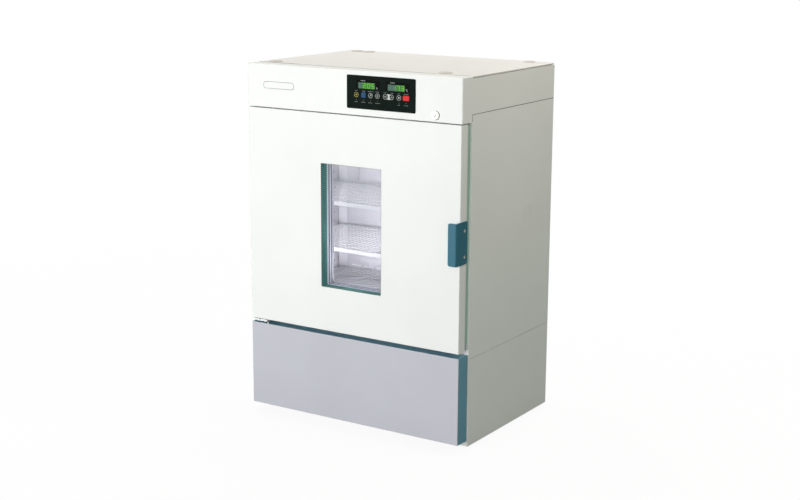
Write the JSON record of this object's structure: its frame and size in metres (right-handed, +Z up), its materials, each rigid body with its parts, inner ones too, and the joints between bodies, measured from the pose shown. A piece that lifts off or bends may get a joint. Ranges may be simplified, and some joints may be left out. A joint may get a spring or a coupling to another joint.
{
  "type": "laboratory incubator",
  "caption": "Floor-standing cooled laboratory incubator with a hinged, windowed door, sliding wire shelves, a keypad head and a compressor bay below.",
  "frame": {"origin": "middle of the overall box's base, on the floor under the feet", "axes": "+Z up, -Y out of the front (door and keypad), +X to the right seen from the front"},
  "size_m": [0.7, 0.58, 1.0205],
  "materials": {
    "white_enamel": "baked enamel, fine orange peel, satin gloss",
    "lid_enamel": "baked enamel, satin",
    "cover_teal": "blue-green baked enamel, satin",
    "cover_lavender": "pale lavender-grey baked enamel, satin",
    "handle_blue": "deep blue-green enamel, satin",
    "stainless": "brushed stainless sheet",
    "zinc_steel": "zinc-plated steel",
    "shelf_coating": "white epoxy-coated wire",
    "window_teal": "dark teal window spacer",
    "glass": "clear glass",
    "gasket_rubber": "soft grey-green magnetic gasket",
    "frame_plastic": "white ABS breaker frame",
    "foam": "rigid urethane foam",
    "panel_black": "dark green-black keypad overlay",
    "display_black": "dark display window",
    "button_dark": "dark key cap",
    "button_yellow": "yellow-ringed key cap",
    "button_blue": "blue key cap",
    "button_red": "red key cap",
    "chrome": "polished chrome",
    "plug_grey": "grey silicone plug",
    "lid_plug": "beige snap-in plug in the lid",
    "circuit_green": "printed circuit board",
    "aluminium_fins": "thin fin stock",
    "copper": "bare copper tube",
    "black_metal": "black paint",
    "black_plastic": "black moulded plastic",
    "black_rubber": "black rubber",
    "nylon": "nylon bush"
  },
  "bodies": {
    "cabinet": {"base_frame": "zinc_steel", "feet": "black_rubber", "left_side_panel": "white_enamel", "right_side_panel": "white_enamel", "lower_side_panels": "white_enamel", "rear_panel": "zinc_steel", "lower_rear_grille": "zinc_steel", "mains_inlet": "black_plastic", "rear_spacers": "zinc_steel", "mouth_frame": "frame_plastic", "chamber_liner": "stainless", "chamber_insulation": "foam", "port_tube": "frame_plastic", "duct_panel": "stainless", "evaporator": "aluminium_fins", "heater": "zinc_steel", "fan_motor": "zinc_steel", "temperature_probe": "stainless", "shelf_uprights": "stainless", "shelf_clips": "stainless", "hood_shell": "white_enamel", "top_lid": "lid_enamel", "top_plugs": "lid_plug", "control_panel": "panel_black", "display_modules": "display_black", "control_board": "circuit_green", "lock_housing": "chrome", "hinge_brackets": "zinc_steel", "lower_cover": "cover_teal", "lower_cover_face": "cover_lavender", "compressor": "black_metal", "condenser": "aluminium_fins", "condenser_shroud": "zinc_steel", "drain_pan": "black_plastic", "refrigerant_lines": "copper"},
    "door": {"door_skin": "white_enamel", "door_core": "foam", "hinge_bushes": "nylon", "door_liner": "stainless", "window_frame": "window_teal", "outer_glass": "glass", "inner_glass": "glass", "door_gasket": "gasket_rubber", "door_handle": "handle_blue", "handle_screws": "chrome"},
    "lock": {"lock_plug": "chrome"},
    "cable_port_plug": {"port_plug": "plug_grey"},
    "chamber_fan": {"circulation_fan": "aluminium_fins"},
    "bay_fan": {"condenser_fan": "aluminium_fins"},
    "shelf_upper": {"shelf_upper": "shelf_coating"},
    "shelf_middle": {"shelf_middle": "shelf_coating"},
    "shelf_lower": {"shelf_lower": "shelf_coating"},
    "button_run": {"button_run": "button_yellow"},
    "button_mode": {"button_mode": "button_blue"},
    "button_select": {"button_select": "button_dark"},
    "button_set": {"button_set": "button_dark"},
    "button_down": {"button_down": "button_dark"},
    "button_up": {"button_up": "button_dark"},
    "button_enter": {"button_enter": "button_dark"},
    "button_stop": {"button_stop": "button_red"}
  },
  "joints": [
    {"name": "door_hinge", "type": "hinge", "parent": "cabinet", "child": "door", "pos_m": [-0.34, -0.25, 0.5885], "axis": [0, 0, -1], "range_deg": [0, 120]},
    {"name": "lock_turn", "type": "hinge", "parent": "cabinet", "child": "lock", "pos_m": [0.268, -0.256, 0.916], "axis": [0, 1, 0], "range_deg": [0, 90]},
    {"name": "cable_port_plug_pull", "type": "slide", "parent": "cabinet", "child": "cable_port_plug", "axis": [1, 0, 0], "range_m": [0, 0.06]},
    {"name": "chamber_fan_spin", "type": "hinge", "parent": "cabinet", "child": "chamber_fan", "pos_m": [0, 0.15, 0.765], "axis": [0, 1, 0], "continuous": true},
    {"name": "bay_fan_spin", "type": "hinge", "parent": "cabinet", "child": "bay_fan", "pos_m": [0.17, -0.033, 0.13], "axis": [0, 1, 0], "continuous": true},
    {"name": "shelf_upper_slide", "type": "slide", "parent": "cabinet", "child": "shelf_upper", "axis": [0, -1, 0], "range_m": [0, 0.035]},
    {"name": "shelf_middle_slide", "type": "slide", "parent": "cabinet", "child": "shelf_middle", "axis": [0, -1, 0], "range_m": [0, 0.035]},
    {"name": "shelf_lower_slide", "type": "slide", "parent": "cabinet", "child": "shelf_lower", "axis": [0, -1, 0], "range_m": [0, 0.035]},
    {"name": "button_run_press", "type": "slide", "parent": "cabinet", "child": "button_run", "axis": [0, 1, 0], "range_m": [0, 0.0008], "stiffness_N_per_m": 1200, "springref_m": -0.0006},
    {"name": "button_mode_press", "type": "slide", "parent": "cabinet", "child": "button_mode", "axis": [0, 1, 0], "range_m": [0, 0.0008], "stiffness_N_per_m": 1200, "springref_m": -0.0006},
    {"name": "button_select_press", "type": "slide", "parent": "cabinet", "child": "button_select", "axis": [0, 1, 0], "range_m": [0, 0.0008], "stiffness_N_per_m": 1200, "springref_m": -0.0006},
    {"name": "button_set_press", "type": "slide", "parent": "cabinet", "child": "button_set", "axis": [0, 1, 0], "range_m": [0, 0.0008], "stiffness_N_per_m": 1200, "springref_m": -0.0006},
    {"name": "button_down_press", "type": "slide", "parent": "cabinet", "child": "button_down", "axis": [0, 1, 0], "range_m": [0, 0.0008], "stiffness_N_per_m": 1200, "springref_m": -0.0006},
    {"name": "button_up_press", "type": "slide", "parent": "cabinet", "child": "button_up", "axis": [0, 1, 0], "range_m": [0, 0.0008], "stiffness_N_per_m": 1200, "springref_m": -0.0006},
    {"name": "button_enter_press", "type": "slide", "parent": "cabinet", "child": "button_enter", "axis": [0, 1, 0], "range_m": [0, 0.0008], "stiffness_N_per_m": 1200, "springref_m": -0.0006},
    {"name": "button_stop_press", "type": "slide", "parent": "cabinet", "child": "button_stop", "axis": [0, 1, 0], "range_m": [0, 0.0008], "stiffness_N_per_m": 1200, "springref_m": -0.0006}
  ]
}
